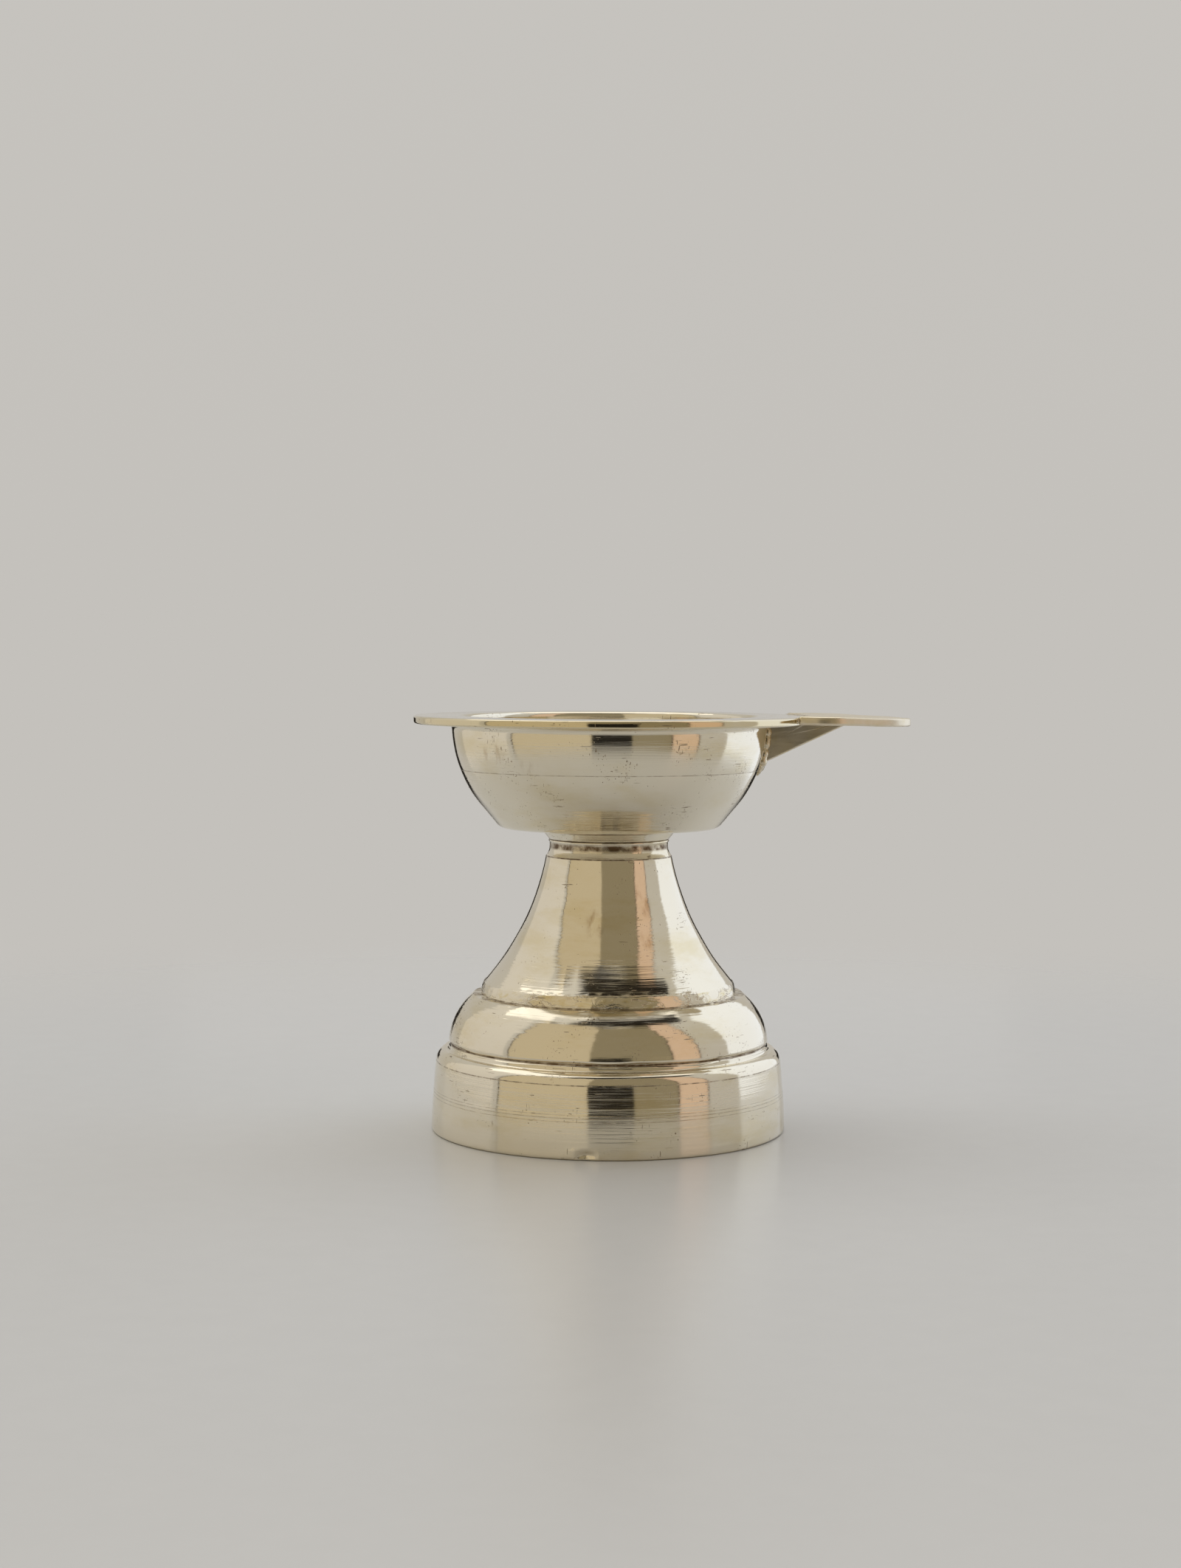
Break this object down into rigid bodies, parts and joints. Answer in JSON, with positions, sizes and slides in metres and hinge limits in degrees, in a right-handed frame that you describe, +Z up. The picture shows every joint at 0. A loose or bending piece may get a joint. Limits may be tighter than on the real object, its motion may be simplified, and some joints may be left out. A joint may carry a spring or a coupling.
{
  "type": "aarti lamp",
  "caption": "Small brass hand lamp for aarti: a round oil bowl with a flat rim and a thumb tab on a rib, screwed onto a hollow bell-shaped pedestal.",
  "frame": {"origin": "on the lamp's axis, in the plane of the foot's underside", "axes": "+Z up along the lamp's axis; +X from the axis towards the thumb tab"},
  "size_m": [0.0599, 0.0472, 0.0502],
  "materials": {
    "cast_brass": "cast, turned and polished",
    "sheet_brass": "filed and polished",
    "braze_filler": "as brazed, uneven",
    "stud_brass": "machined"
  },
  "bodies": {
    "pedestal": {"pedestal": "cast_brass"},
    "stud": {"threaded_stud": "stud_brass"},
    "cup": {"cup": "cast_brass", "thumb_tab": "sheet_brass", "support_rib": "sheet_brass", "rib_braze": "braze_filler", "tab_braze": "braze_filler"}
  },
  "joints": [
    {"name": "stud_rise", "type": "slide", "parent": "pedestal", "child": "stud", "axis": [0, 0, 1], "range_m": [0, 0.007]},
    {"name": "cup_turn", "type": "hinge", "parent": "stud", "child": "cup", "pos_m": [0, 0, 0.03513], "axis": [0, 0, 1], "range_deg": [0, 2016]}
  ],
  "couplings": [
    {"joint": "stud_rise", "follows": "cup_turn", "m_per_rad": 0.00019894}
  ]
}
